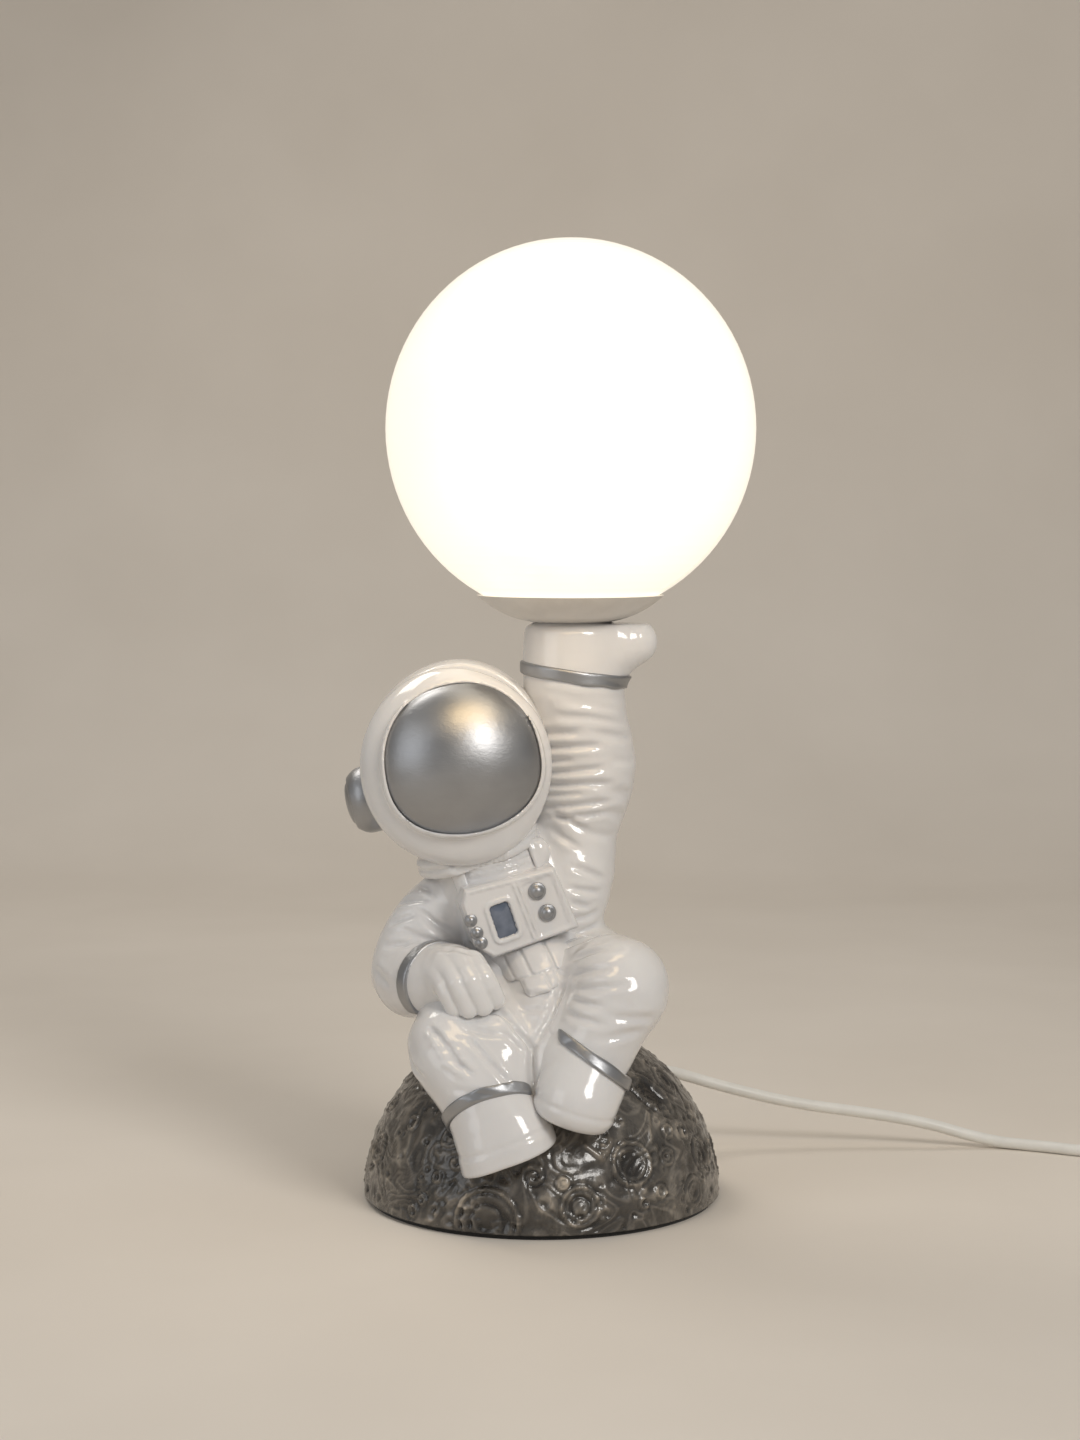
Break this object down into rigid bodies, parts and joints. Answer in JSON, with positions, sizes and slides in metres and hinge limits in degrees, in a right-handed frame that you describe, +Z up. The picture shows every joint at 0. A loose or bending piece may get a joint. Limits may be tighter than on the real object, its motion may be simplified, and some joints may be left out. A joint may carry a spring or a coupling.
{
  "type": "table lamp",
  "caption": "Table lamp: a seated space-suited figure on a domed cratered rock holds an opal glass globe over its head on one raised palm.",
  "frame": {"origin": "centre of the round foot pad's underside, on the table", "axes": "+Z up to the globe, +X to the figure's left, -Y the way the figure faces"},
  "size_m": [0.4427, 0.1845, 0.3899],
  "materials": {
    "figure_glaze": "gloss",
    "silver_paint": "satin",
    "rock_glaze": "gloss",
    "screen_blue": "gloss",
    "black_felt": "matte",
    "black_plastic": "matte",
    "black_rubber": "matte",
    "cup_paint": "satin",
    "opal_glass": "gloss",
    "zinc_steel": "satin",
    "brass_parts": "satin",
    "white_plastic": "satin",
    "white_cord": "satin",
    "bulb_opal": "satin",
    "nickel_cap": "satin"
  },
  "bodies": {
    "lamp": {"foot_pad": "black_felt", "base_cover": "black_plastic", "cover_screws": "zinc_steel", "moon_rock": "rock_glaze", "cord_gland": "white_plastic", "gland_nut": "white_plastic", "torso": "figure_glaze", "collar": "figure_glaze", "helmet_shell": "figure_glaze", "helmet_front": "figure_glaze", "visor": "silver_paint", "ear_cap": "silver_paint", "chest_pack": "figure_glaze", "chest_screen": "screen_blue", "large_knobs": "silver_paint", "small_knobs": "silver_paint", "belt_pouches": "figure_glaze", "shoulder_straps": "figure_glaze", "backpack": "figure_glaze", "raised_arm": "figure_glaze", "raised_wrist_band": "silver_paint", "raised_hand": "figure_glaze", "lowered_arm": "figure_glaze", "lowered_wrist_band": "silver_paint", "lowered_hand": "figure_glaze", "right_leg": "figure_glaze", "right_ankle_band": "silver_paint", "right_boot": "figure_glaze", "left_leg": "figure_glaze", "left_ankle_band": "silver_paint", "left_boot": "figure_glaze", "shade_cup": "cup_paint", "cup_gasket": "black_rubber", "spring_clips": "zinc_steel", "lamp_tube": "zinc_steel", "tube_nut": "zinc_steel", "tube_washer": "zinc_steel", "lampholder": "white_plastic", "holder_core": "white_plastic", "screw_shell": "brass_parts", "centre_contact": "brass_parts", "inner_lead": "white_cord", "cord_run": "white_cord", "switch_base": "white_plastic", "switch_lid": "white_plastic", "switch_screws": "zinc_steel", "switch_contacts": "brass_parts", "cord_lead": "white_cord", "cord_coil": "white_cord", "cord_tie": "black_plastic", "plug_body": "white_plastic", "plug_pins": "brass_parts"},
    "globe": {"globe_shade": "opal_glass"},
    "bulb": {"bulb_cap": "nickel_cap", "bulb_neck": "white_plastic", "bulb_dome": "bulb_opal"},
    "rocker": {"switch_rocker": "white_plastic"}
  },
  "joints": [
    {"name": "globe_lift", "type": "slide", "parent": "lamp", "child": "globe", "axis": [0, 0, 1], "range_m": [0, 0.11]},
    {"name": "bulb_lift", "type": "slide", "parent": "lamp", "child": "bulb", "axis": [0, 0, 1], "range_m": [0, 0.03]},
    {"name": "rocker_swing", "type": "hinge", "parent": "lamp", "child": "rocker", "pos_m": [0.294, 0.056, 0.013], "axis": [0, -1, 0], "range_deg": [0, 16]}
  ]
}
